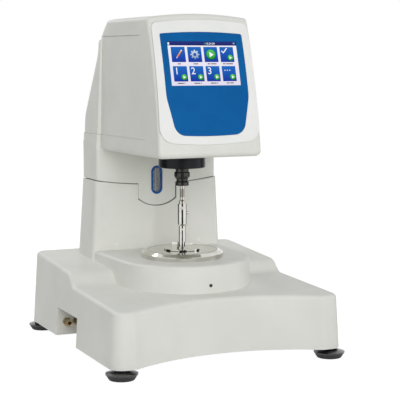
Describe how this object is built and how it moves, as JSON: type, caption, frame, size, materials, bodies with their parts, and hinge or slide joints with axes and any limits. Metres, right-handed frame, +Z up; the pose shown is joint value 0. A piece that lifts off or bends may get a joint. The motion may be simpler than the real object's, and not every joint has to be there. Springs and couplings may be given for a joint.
{
  "type": "bench rheometer",
  "caption": "Bench rheometer with a thermostatted sample plate, a column lift, a touch-screen measuring head and a coupled rotating plate spindle",
  "frame": {"origin": "on the table, under the middle of the four levelling feet", "axes": "+Z up; the user stands at -Y and faces the screen; +X to the user's right"},
  "size_m": [0.3968, 0.436, 0.536],
  "materials": {
    "casing": "satin",
    "mask": "satin",
    "fascia_blue": "satin",
    "screen": "gloss",
    "clear": "gloss",
    "polished_steel": "polished",
    "steel": "brushed",
    "aluminium": "satin",
    "black_metal": "satin",
    "cast_frame": "matte",
    "brass": "satin",
    "copper_pipe": "satin",
    "rubber": "matte",
    "black_plastic": "matte",
    "white_plastic": "satin",
    "board": "matte",
    "scale_grey": "matte"
  },
  "bodies": {
    "base": {"base_housing": "casing", "base_plate": "aluminium", "base_screws": "steel", "foot_inserts": "brass", "chamber_disc": "polished_steel", "disc_screws": "steel", "heat_exchanger": "aluminium", "coolant_pipes": "copper_pipe", "hose_fittings": "brass", "power_inlet": "black_plastic", "power_supply": "aluminium", "screw_caps": "white_plastic", "level_plug": "black_plastic", "column_frame": "cast_frame", "rod_bushings": "brass", "column_core": "aluminium", "height_scale": "scale_grey", "lift_motor": "black_metal", "screw_seat": "steel"},
    "head": {"guide_rods": "polished_steel", "lift_yoke": "aluminium", "lead_nut": "brass", "chassis_plate": "aluminium", "carriage_shell": "casing", "head_rear_cover": "casing", "cover_screws": "steel", "head_front_mask": "mask", "fascia_panel": "fascia_blue", "touch_glass": "screen", "display_module": "black_plastic", "display_bracket": "aluminium", "main_board": "board", "window_bezel": "fascia_blue", "window_lens": "clear", "drive_housing": "aluminium", "drive_bearings": "steel", "drive_stator": "copper_pipe", "flange_ring": "black_metal", "ring_screws": "steel"},
    "rotor": {"drive_shaft": "steel", "drive_magnet": "black_metal", "encoder_disc": "steel", "coupling_core": "steel", "spindle_stem": "steel", "spindle_barrel": "steel", "sleeve_screw": "steel", "spindle_tube": "steel", "measuring_plate": "polished_steel"},
    "sleeve": {"coupling_sleeve": "polished_steel", "coupling_spring": "steel"},
    "lead_screw": {"lead_screw": "steel"},
    "rocker": {"power_rocker": "black_plastic"},
    "pad_front_left": {"foot_pad_front_left": "rubber"},
    "screw_front_left": {"foot_screw_front_left": "black_metal"},
    "pad_front_right": {"foot_pad_front_right": "rubber"},
    "screw_front_right": {"foot_screw_front_right": "black_metal"},
    "pad_rear_left": {"foot_pad_rear_left": "rubber"},
    "screw_rear_left": {"foot_screw_rear_left": "black_metal"},
    "pad_rear_right": {"foot_pad_rear_right": "rubber"},
    "screw_rear_right": {"foot_screw_rear_right": "black_metal"}
  },
  "joints": [
    {"name": "lift_slide", "type": "slide", "parent": "base", "child": "head", "axis": [0, 0, 1], "range_m": [0, 0.118]},
    {"name": "lead_screw_spin", "type": "hinge", "parent": "base", "child": "lead_screw", "pos_m": [0, 0.141, 0.15], "axis": [0, 0, 1], "continuous": true},
    {"name": "drive_spin", "type": "hinge", "parent": "head", "child": "rotor", "pos_m": [0, -0.0138, 0.3], "axis": [0, 0, 1], "continuous": true},
    {"name": "coupling_pull", "type": "slide", "parent": "rotor", "child": "sleeve", "axis": [0, 0, 1], "range_m": [0, 0.003], "stiffness_N_per_m": 600, "springref_m": -0.003, "deforming": ["coupling_spring"]},
    {"name": "power_switch", "type": "hinge", "parent": "base", "child": "rocker", "pos_m": [0.096, 0.2057, 0.0395], "axis": [1, 0, 0], "range_deg": [-16, 0]},
    {"name": "foot_lift_front_left", "type": "slide", "parent": "base", "child": "pad_front_left", "axis": [0, 0, 1], "range_m": [-0.009, 0]},
    {"name": "foot_turn_front_left", "type": "hinge", "parent": "pad_front_left", "child": "screw_front_left", "pos_m": [-0.174, -0.19365, 0.01], "axis": [0, 0, 1], "range_deg": [-2160, 0]},
    {"name": "foot_lift_front_right", "type": "slide", "parent": "base", "child": "pad_front_right", "axis": [0, 0, 1], "range_m": [-0.009, 0]},
    {"name": "foot_turn_front_right", "type": "hinge", "parent": "pad_front_right", "child": "screw_front_right", "pos_m": [0.174, -0.19365, 0.01], "axis": [0, 0, 1], "range_deg": [-2160, 0]},
    {"name": "foot_lift_rear_left", "type": "slide", "parent": "base", "child": "pad_rear_left", "axis": [0, 0, 1], "range_m": [-0.009, 0]},
    {"name": "foot_turn_rear_left", "type": "hinge", "parent": "pad_rear_left", "child": "screw_rear_left", "pos_m": [-0.174, 0.19365, 0.01], "axis": [0, 0, 1], "range_deg": [-2160, 0]},
    {"name": "foot_lift_rear_right", "type": "slide", "parent": "base", "child": "pad_rear_right", "axis": [0, 0, 1], "range_m": [-0.009, 0]},
    {"name": "foot_turn_rear_right", "type": "hinge", "parent": "pad_rear_right", "child": "screw_rear_right", "pos_m": [0.174, 0.19365, 0.01], "axis": [0, 0, 1], "range_deg": [-2160, 0]}
  ],
  "couplings": [
    {"joint": "lead_screw_spin", "follows": "lift_slide", "rad_per_m": -628.32},
    {"joint": "foot_turn_front_left", "follows": "foot_lift_front_left", "rad_per_m": 4188.8},
    {"joint": "foot_turn_front_right", "follows": "foot_lift_front_right", "rad_per_m": 4188.8},
    {"joint": "foot_turn_rear_left", "follows": "foot_lift_rear_left", "rad_per_m": 4188.8},
    {"joint": "foot_turn_rear_right", "follows": "foot_lift_rear_right", "rad_per_m": 4188.8}
  ]
}
